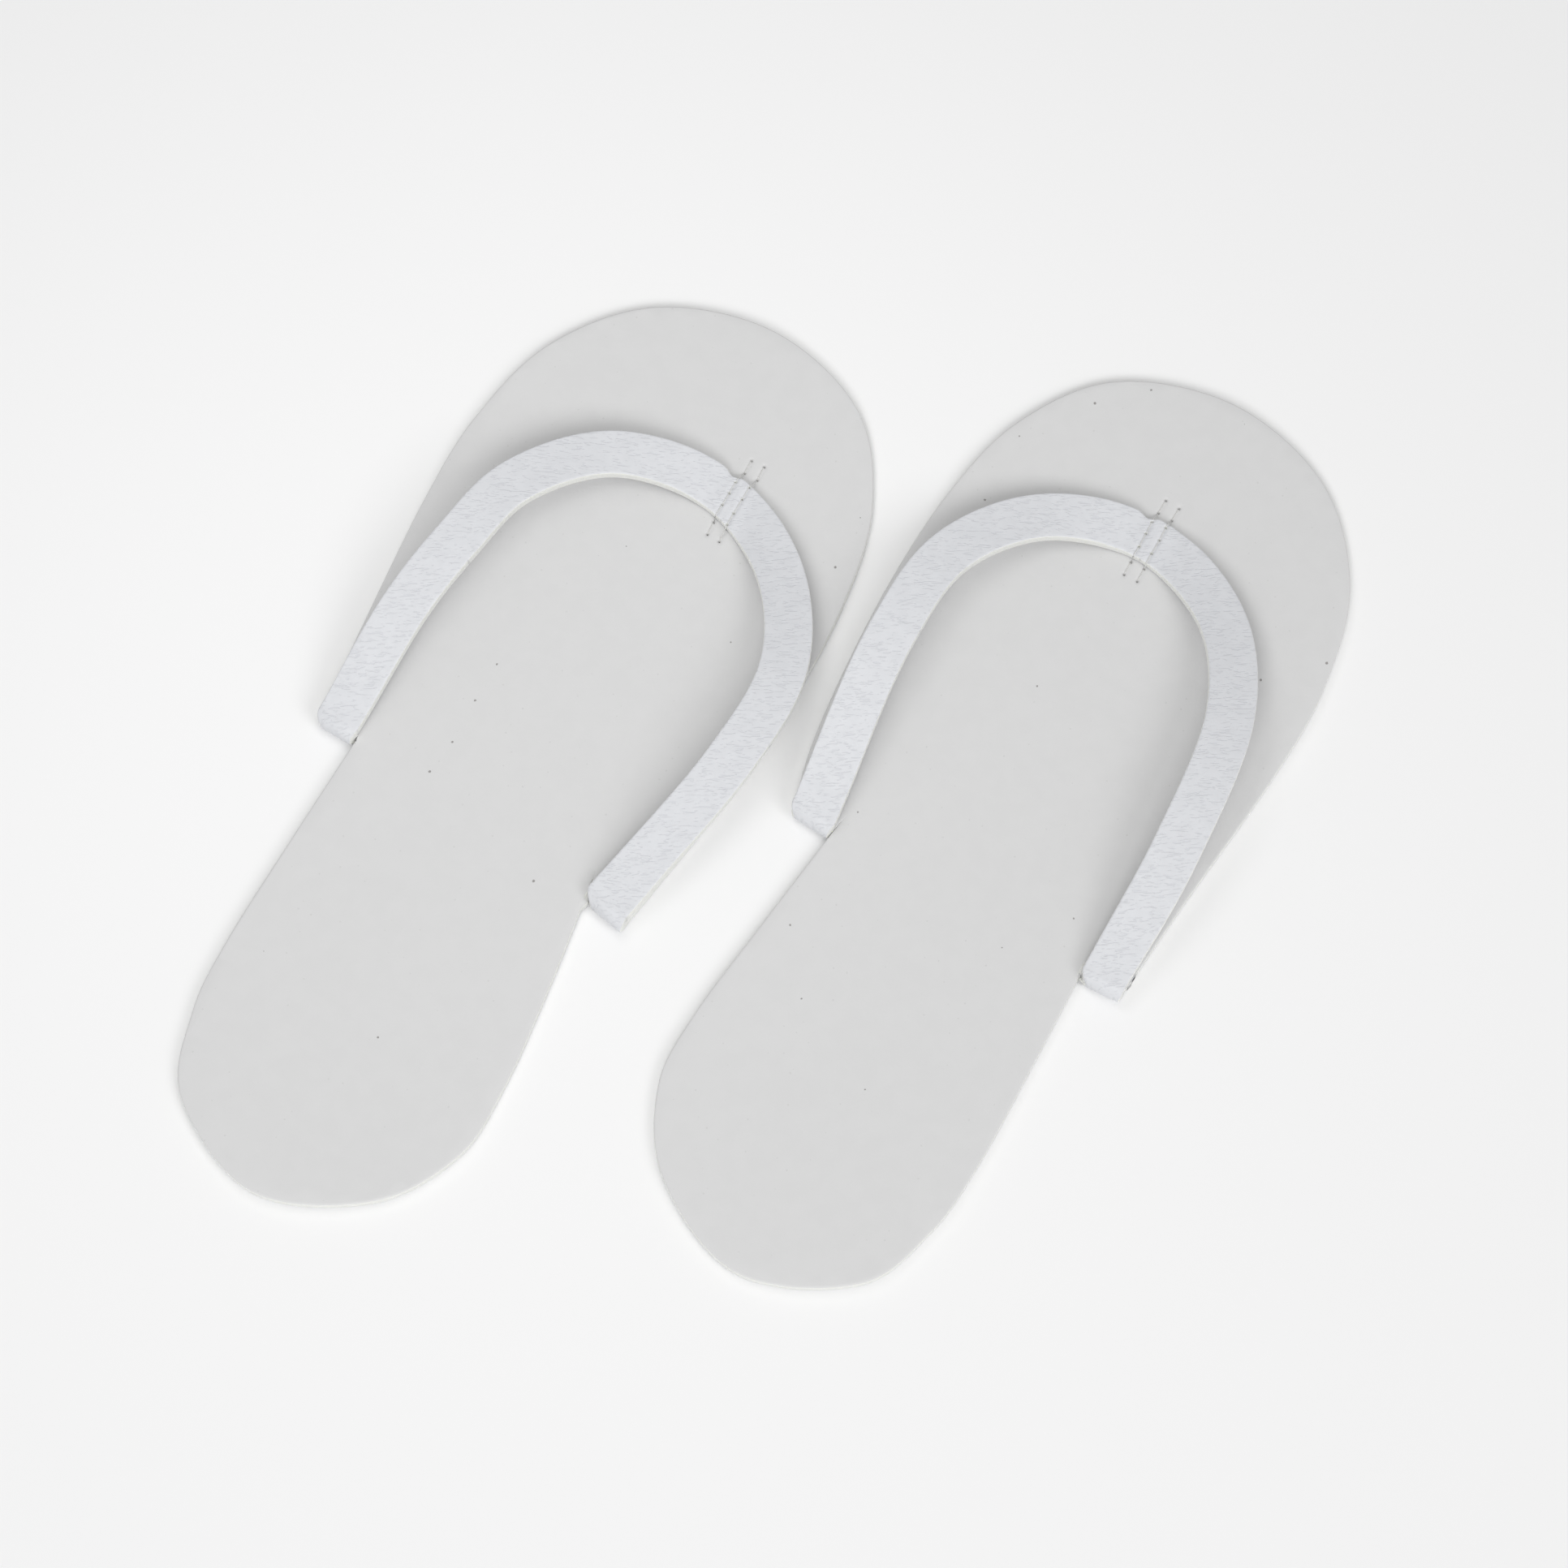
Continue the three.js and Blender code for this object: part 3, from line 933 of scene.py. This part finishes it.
@dataclass
class Strap:
    """Folded-over band of one slipper, in four lengths that follow their own bodies."""

    side: Side
    seam: SeamPlan
    footbed: Footbed
    edge_radius: float = 0.5 * MM
    edge_segments: int = 3
    width_cuts: int = 11
    smooth_levels: int = 2
    seam_cuts: int = 2
    groove_depth: float = 0.4 * MM
    groove_reach: float = 0.6 * MM
    pad_step: float = 0.8 * MM
    thinning: float = 9 * MM
    cut_gap: float = 0.004 * MM
    fold_hold: float = 2 * MM
    fold_bend: float = 42 * MM
    pull_depth: float = 1.2 * MM
    pull_width: float = 1.9 * MM
    pull_aside: float = 1.6 * MM
    pull_reach: float = 4 * MM

    def __post_init__(self) -> None:
        """Read the pad's toe-side edge from the frame, and place the dent beside the rows."""
        self.toe_edge_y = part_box(f"{self.side.value}_thong_pad")[1].y
        self.pull_x = min(self.seam.rows.values()) - self.pull_aside

    def build(self, wardrobe: Wardrobe) -> tuple[bpy.types.Object, list[bpy.types.Object]]:
        """Make the whole band, then cut it into its four lengths.

        Returns:
            The whole band, which the caller removes, and the four lengths.
        """
        band = self._join_band()
        with Workbench(band) as bench:
            bench.move_points(self._thinned)
            self._bridge_pad(bench)
            self._round_edges(bench)
            self._divide_width(bench)
        self._smooth(band)
        with Workbench(band) as bench:
            self._refine_seam(bench)
        keep_sheet_places(band)
        self._store_hole_shade(band)
        with Workbench(band) as bench:
            bench.move_points(self._pressed)
        wardrobe.dress_foam(band, self._skin_of)
        smooth_shade(band, 40)
        lengths = [self._length_of(band, arm, rear) for arm in Arm for rear in (True, False)]
        return band, lengths

    def _join_band(self) -> bpy.types.Object:
        """Copy the arms and the pad into one piece."""
        name = self.side.value
        arms = [copy_of(f"{name}_{arm.value}_strap_arm", f"{name}_{arm.value}_raw") for arm in Arm]
        band = copy_of(f"{name}_thong_pad", f"{name}_band")
        bpy.ops.object.select_all(action="DESELECT")
        for piece in (*arms, band):
            piece.select_set(True)
        bpy.context.view_layer.objects.active = band
        bpy.ops.object.join()
        return band

    def _thinned(self, place: Vector, _: Vector) -> Vector:
        """Let the arms run down to the level of the pad before they meet it."""
        past = abs(place.x - self.seam.middle) - self.seam.pad_half
        if past > 0.1 * MM:
            share = min(1.0, max(0.0, place.z - self.footbed.thickness) / (3.7 * MM))
            place.z -= self.pad_step * share * (1 - smooth(past / self.thinning))
        return place

    def _bridge_pad(self, bench: Workbench) -> None:
        """Open the ends that face each other at the seam, and bridge them."""
        seam = self.seam
        near = seam.pad_half + MM
        bench.faces(
            lambda f: abs(f.normal.x) > 0.99 and abs(f.calc_center_median().x - seam.middle) < near
        )
        bpy.ops.mesh.delete(type="FACE")
        for sign in (-1, 1):
            edge_x = seam.middle + sign * seam.pad_half
            bench.edges(
                lambda e: e.is_boundary and abs((e.verts[0].co.x + e.verts[1].co.x) / 2 - edge_x) < MM
            )
            bpy.ops.mesh.bridge_edge_loops()
        bench.everything()
        bpy.ops.mesh.tris_convert_to_quads(face_threshold=math.pi, shape_threshold=math.pi)
        bench.everything()
        bpy.ops.mesh.normals_make_consistent(inside=False)

    def _round_edges(self, bench: Workbench) -> None:
        """Round the four long edges of the band."""

        def long_edge(edge: bmesh.types.BMEdge) -> bool:
            if len(edge.link_faces) != 2:
                return False
            flat, upright = sorted(abs(f.normal.z) for f in edge.link_faces)[::-1]
            ends = [f for f in edge.link_faces if self._is_fold_end(f)]
            return flat > 0.5 and upright < 0.3 and not ends

        bench.edges(long_edge)
        bpy.ops.mesh.bevel(
            offset=self.edge_radius, segments=self.edge_segments, profile=0.5, affect="EDGES"
        )

    def _is_fold_end(self, face: bmesh.types.BMFace) -> bool:
        """True if a face is the end of the band that stands on a fold."""
        place = face.calc_center_median()
        near = any(abs(place.y - self.footbed.wing_y(arm)) < 0.2 * MM for arm in Arm)
        return near and face.normal.y < -0.9

    def _divide_width(self, bench: Workbench) -> None:
        """Divide the band's two broad faces across their width."""

        def cross_edge(edge: bmesh.types.BMEdge) -> bool:
            run = edge.verts[1].co - edge.verts[0].co
            return run.length > 8 * MM

        bench.edges(cross_edge)
        bpy.ops.mesh.subdivide(number_cuts=self.width_cuts)

    def _smooth(self, band: bpy.types.Object) -> None:
        """Round the band's run with a subdivision surface, and keep its ends as they are."""
        with Workbench(band) as bench:
            bench.edges(lambda e: any(self._is_fold_end(f) for f in e.link_faces))
            bpy.ops.transform.edge_crease(value=1.0)
        surface = band.modifiers.new("run", "SUBSURF")
        surface.levels = self.smooth_levels
        surface.render_levels = self.smooth_levels
        apply_modifiers(band)

    def _refine_seam(self, bench: Workbench) -> None:
        """Divide the pad finely enough for needle holes."""
        seam = self.seam
        bench.faces(lambda f: abs(f.calc_center_median().x - seam.middle) < seam.pad_half - MM)
        bpy.ops.mesh.subdivide(number_cuts=self.seam_cuts, smoothness=0)

    def _store_hole_shade(self, band: bpy.types.Object) -> None:
        """Store how much painted shade each point takes because it lies in a needle hole."""
        pits = band.data.attributes.new("hole_shade", "FLOAT", "POINT")
        for index, point in enumerate(band.data.vertices):
            pits.data[index].value = self.seam.hole_share(point.co.x, point.co.y)

    def _pressed(self, place: Vector, normal: Vector) -> Vector:
        """Press the two rows into the foam, and follow the footbed's waves.

        Args:
            place: A point of the plain band.
            normal: The normal there.

        Returns:
            Where the point settles.
        """
        seam = self.seam
        x, y = place.x, place.y
        floor = self.footbed.thickness
        height = max(0.0, place.z - floor)
        if abs(x - seam.middle) < 2 * seam.pad_half:
            share = min(1.0, height / (2.6 * MM))
            place.z -= share * self.groove_depth * seam.row_share(x, y, self.groove_reach)
            if normal.z > 0.7:
                place.z -= 0.8 * seam.hole_depth * seam.hole_share(x, y)
            place.y += self._pull(x, y)
        place.z += wave_height(x, y, self.footbed.wave_length, self.footbed.wave_height)
        return self.footbed.laid(place)

    def _pull(self, x: float, y: float) -> float:
        """How far the outer row draws the toe-side edge of the band back, as a negative Y."""
        edge_y = self.toe_edge_y
        near_edge = smooth(1 - (edge_y - y) / self.pull_reach)
        return -self.pull_depth * near_edge * bump(x - self.pull_x, self.pull_width)

    def _skin_of(self, polygon: bpy.types.MeshPolygon) -> Skin:
        """Tell the face of the sheet from a polygon's normal."""
        if abs(polygon.normal.z) < 0.62:
            return Skin.CUT
        return Skin.CRINKLED if polygon.normal.z > 0 else Skin.SMOOTH

    def _length_of(self, band: bpy.types.Object, arm: Arm, rear: bool) -> bpy.types.Object:
        """Cut one length out of the band and let it bend with its arm.

        Args:
            band: The whole band.
            arm: The arm that the length belongs to.
            rear: True for the length at the fold, False for the one at the seam.

        Returns:
            The length.
        """
        side = self.side.value
        low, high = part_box(f"{side}_{arm.value}_strap_arm")
        half = "rear" if rear else "front"
        piece = bpy.data.objects.new(f"{side}_{arm.value}_strap_{half}", band.data.copy())
        bpy.context.scene.collection.objects.link(piece)
        away = self.side.inward if arm is Arm.INNER else -self.side.inward
        seam_plane = Vector((self.seam.middle, 0, 0))
        wing_y = self.footbed.wing_y(arm)
        middle_y = (wing_y + high.y) / 2 - 5 * MM
        with Workbench(piece) as bench:
            self._keep(bench, seam_plane, Vector((away, 0, 0)))
            self._keep(bench, Vector((0, middle_y, 0)), Vector((0, -1 if rear else 1, 0)))
        smooth_shade(piece, 40)
        leg_x = (low.x + 7 * MM) if away < 0 else (high.x - 7 * MM)
        slipper, lifted = f"{side}_slipper", f"{side}_{arm.value}_strap"
        if rear:
            start = (leg_x, wing_y + self.fold_hold, 0)
            end = (leg_x, wing_y + self.fold_hold + self.fold_bend, 0)
            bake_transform(piece, slipper, lifted, start=start, end=end)
        else:
            start = (leg_x, middle_y + 8 * MM, 0)
            end = (self.seam.middle + away * self.seam.pad_half, high.y - 6 * MM, 0)
            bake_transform(piece, lifted, slipper, start=start, end=end)
        return piece

    def _keep(self, bench: Workbench, point: Vector, direction: Vector) -> None:
        """Cut the piece by a plane, close the cut and keep the side that direction points to."""
        bench.everything()
        bpy.ops.mesh.bisect(
            plane_co=point + direction * self.cut_gap,
            plane_no=direction,
            clear_inner=True,
            use_fill=True,
            threshold=0.0001 * MM,
        )


@dataclass
class Stitching:
    """Needle and bobbin threads of one slipper, lying on the finished foam."""

    side: Side
    seam: SeamPlan
    footbed: bpy.types.Object
    band: bpy.types.Object
    thread_radius: float = 0.16 * MM
    ply_pitch: float = 0.9 * MM
    samples: int = 36
    inset: float = 0.07
    tuck: float = 0.9 * MM

    def build(self, wardrobe: Wardrobe) -> list[bpy.types.Object]:
        """Make the four threads of the slipper."""
        threads = []
        for row in Arm:
            for kind, above in (("needle", True), ("bobbin", False)):
                name = f"{self.side.value}_{row.value}_{kind}_stitches"
                threads.append(self._thread(name, self._path(row, above)))
        for thread in threads:
            thread.data.materials.clear()
            thread.data.materials.append(wardrobe.thread)
            for polygon in thread.data.polygons:
                polygon.use_smooth = True
        return threads

    def _surface(self, x: float, y: float, above: bool) -> float:
        """Height of the foam's top, or of its underside, at a place."""
        start = Vector((x, y, 0.05 if above else -0.05))
        direction = -UP if above else UP
        heights = []
        for piece in (self.footbed, self.band):
            hit, place, _, _ = piece.ray_cast(start, direction)
            if hit:
                heights.append(place.z)
        return max(heights) if above else min(heights)

    def _path(self, row: Arm, above: bool) -> list[Vector]:
        """Line of one thread: taut over each stitch, and tucked into every needle hole.

        Args:
            row: The row that the thread belongs to.
            above: True for the needle thread, False for the bobbin thread.

        Returns:
            Points along the thread.
        """
        sign = 1 if above else -1
        holes = [Vector((*hole, 0)) for hole in self.seam.row_holes(row)]
        points = []
        for start, end in zip(holes, holes[1:]):
            length = (end - start).length
            shares = [self.inset + (1 - 2 * self.inset) * step / self.samples
                      for step in range(self.samples + 1)]
            run = [start.lerp(end, share) for share in shares]
            heights = [sign * self._surface(place.x, place.y, above) for place in run]
            taut = taut_line([share * length for share in shares], heights)
            lift = 0.55 * self.thread_radius
            points.append(start.lerp(end, 0.3 * self.inset) + UP * sign * (taut[0] - self.tuck))
            points += [place + UP * sign * (level + lift) for place, level in zip(run, taut)]
            points.append(end.lerp(start, 0.3 * self.inset) + UP * sign * (taut[-1] - self.tuck))
        return points

    def _thread(self, name: str, points: list[Vector]) -> bpy.types.Object:
        """Sweep a two-ply section along a line, turning it as the plies twist.

        Args:
            name: Name of the thread.
            points: Points along its middle.

        Returns:
            The thread as a mesh.
        """
        line = bpy.data.curves.new(name, "CURVE")
        line.dimensions = "3D"
        line.twist_mode = "MINIMUM"
        spline = line.splines.new("POLY")
        spline.points.add(len(points) - 1)
        travelled = 0.0
        for index, point in enumerate(points):
            if index:
                travelled += (point - points[index - 1]).length
            spline.points[index].co = (*point, 1)
            spline.points[index].tilt = 2 * math.pi * travelled / self.ply_pitch
        section = self._section()
        line.bevel_mode = "OBJECT"
        line.bevel_object = section
        line.use_fill_caps = True
        thread = bpy.data.objects.new(name, line)
        bpy.context.scene.collection.objects.link(thread)
        bpy.ops.object.select_all(action="DESELECT")
        thread.select_set(True)
        bpy.context.view_layer.objects.active = thread
        bpy.ops.object.convert(target="MESH")
        thread = bpy.context.view_layer.objects.active
        bpy.data.objects.remove(section)
        with Workbench(thread) as bench:
            bench.everything()
            bpy.ops.mesh.remove_doubles(threshold=0.001 * MM)
            bench.everything()
            bpy.ops.mesh.normals_make_consistent(inside=False)
        keep_sheet_places(thread)
        return thread

    def _section(self) -> bpy.types.Object:
        """Closed outline of two plies side by side."""
        curve = bpy.data.curves.new("ply_section", "CURVE")
        curve.dimensions = "2D"
        spline = curve.splines.new("POLY")
        corners = 10
        spline.points.add(corners - 1)
        spline.use_cyclic_u = True
        for corner in range(corners):
            angle = 2 * math.pi * corner / corners
            radius = self.thread_radius * (0.72 + 0.28 * abs(math.cos(angle)))
            spline.points[corner].co = (radius * math.cos(angle), radius * math.sin(angle), 0, 1)
        section = bpy.data.objects.new("ply_section", curve)
        bpy.context.scene.collection.objects.link(section)
        return section


def taut_line(run: list[float], heights: list[float]) -> list[float]:
    """Height of a taut line that passes over everything below it.

    Args:
        run: Places along the line, in order.
        heights: Height of the ground at each place.

    Returns:
        Height of the line at each place.
    """
    corners: list[tuple[float, float]] = []
    for point in zip(run, heights):
        while len(corners) > 1:
            (x0, z0), (x1, z1) = corners[-2:]
            if (x1 - x0) * (point[1] - z0) >= (z1 - z0) * (point[0] - x0):
                corners.pop()
            else:
                break
        corners.append(point)
    line = []
    corner = 0
    for place in run:
        while corner < len(corners) - 2 and place > corners[corner + 1][0]:
            corner += 1
        (x0, z0), (x1, z1) = corners[corner], corners[corner + 1]
        line.append(z0 + (z1 - z0) * (place - x0) / (x1 - x0))
    return line


@dataclass
class Slipper:
    """One slipper: footbed with its folds, strap and stitching."""

    side: Side

    def build(self, wardrobe: Wardrobe) -> None:
        """Make the slipper's pieces, tie them to their bodies and report them."""
        side = self.side.value
        body = f"{side}_slipper"
        seam = SeamPlan(self.side)
        sole = Footbed(self.side, seam)
        footbed = sole.build(wardrobe)
        band, lengths = Strap(self.side, seam, sole).build(wardrobe)
        threads = Stitching(self.side, seam, footbed, band).build(wardrobe)
        bpy.data.objects.remove(band)
        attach(footbed, body)
        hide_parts(f"{side}_sole", f"{side}_outer_fold", f"{side}_inner_fold")
        for thread, (row, kind) in zip(threads, [(r, k) for r in Arm for k in ("needle", "bobbin")]):
            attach(thread, body)
            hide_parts(f"{side}_{row.value}_{kind}_thread")
        for arm, length in zip(Arm, lengths[::2]):
            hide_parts(f"{side}_{arm.value}_strap_arm", f"{side}_thong_pad")
        for piece in (footbed, *lengths, *threads):
            LOG.info("%s: %d faces", piece.name, len(piece.data.polygons))


# Studio ------------------------------------------------------------------------------------------


@dataclass(frozen=True)
class SoftLight:
    """One round soft box, placed by its direction from the pair."""

    name: str
    azimuth: float
    elevation: float
    distance: float
    size: float
    power: float
    aim: tuple[float, float, float] = (0.0, 0.0, 0.0)

    def build(self) -> None:
        """Hang the light."""
        light = bpy.data.lights.new(self.name, "AREA")
        light.shape = "DISK"
        light.size = self.size
        light.energy = self.power
        lamp = bpy.data.objects.new(self.name, light)
        toward = direction_to(self.azimuth, self.elevation)
        lamp.location = Vector(self.aim) + toward * self.distance
        lamp.rotation_mode = "QUATERNION"
        lamp.rotation_quaternion = (-toward).to_track_quat("-Z", "Y")
        bpy.context.scene.collection.objects.link(lamp)


def direction_to(azimuth: float, elevation: float) -> Vector:
    """Direction from the pair to an observer at an azimuth and elevation, in degrees."""
    a, e = math.radians(azimuth), math.radians(elevation)
    return Vector((math.sin(a) * math.cos(e), -math.cos(a) * math.cos(e), math.sin(e)))


@dataclass
class Studio:
    """Pale floor, soft lights and the camera."""

    azimuth: float = 28.9
    elevation: float = 70.0
    distance: float = 1.0365
    focal_length: float = 93.2
    target: tuple[float, float, float] = (6.1 * MM, 3.0 * MM, 3.2 * MM)
    floor_size: float = 6.0
    floor_colour: Colour = (0.93, 0.93, 0.93)
    sky: float = 0.50
    lights: tuple[SoftLight, ...] = (
        SoftLight("main", 15, 48, 3.0, 1.3, power=29.0),
        SoftLight("side", 75, 45, 4.0, 2.2, power=36.0),
        SoftLight("top", 29, 85, 0.35, 0.2, power=0.18, aim=(-0.10, 0.05, 0.0)),
    )

    def build(self) -> None:
        """Make the floor, the world, the lights and the camera."""
        self._floor()
        self._world()
        for light in self.lights:
            light.build()
        self._camera()

    def _floor(self) -> None:
        """Lay the floor a hair below the soles."""
        bpy.ops.mesh.primitive_plane_add(size=self.floor_size, location=(0, 0, -0.02 * MM))
        floor = bpy.context.active_object
        floor.name = "studio_floor"
        material = bpy.data.materials.new("studio_floor")
        material.use_nodes = True
        shader = material.node_tree.nodes["Principled BSDF"]
        shader.inputs["Base Color"].default_value = (*self.floor_colour, 1)
        shader.inputs["Roughness"].default_value = 0.9
        floor.data.materials.append(material)

    def _world(self) -> None:
        """Fill the room with even pale light."""
        world = bpy.data.worlds.new("studio")
        world.use_nodes = True
        background = world.node_tree.nodes["Background"]
        background.inputs["Color"].default_value = (1, 1, 1, 1)
        background.inputs["Strength"].default_value = self.sky
        bpy.context.scene.world = world

    def _camera(self) -> None:
        """Point the camera at the pair from above the wearer's side."""
        data = bpy.data.cameras.new("camera")
        data.lens = self.focal_length
        data.clip_end = 20
        camera = bpy.data.objects.new("camera", data)
        toward = direction_to(self.azimuth, self.elevation)
        camera.location = Vector(self.target) + toward * self.distance
        camera.rotation_mode = "QUATERNION"
        camera.rotation_quaternion = (-toward).to_track_quat("-Z", "Y")
        bpy.context.scene.collection.objects.link(camera)
        bpy.context.scene.camera = camera


def main() -> None:
    """Build the pair and its studio."""
    logging.basicConfig(level=logging.INFO, format="%(name)s %(message)s")
    noise.seed_set(SEED)
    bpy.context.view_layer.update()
    bpy.context.scene.view_settings.view_transform = "Standard"
    Studio().build()
    wardrobe = Wardrobe()
    for side in Side:
        Slipper(side).build(wardrobe)


if __name__ == "__main__":
    main()
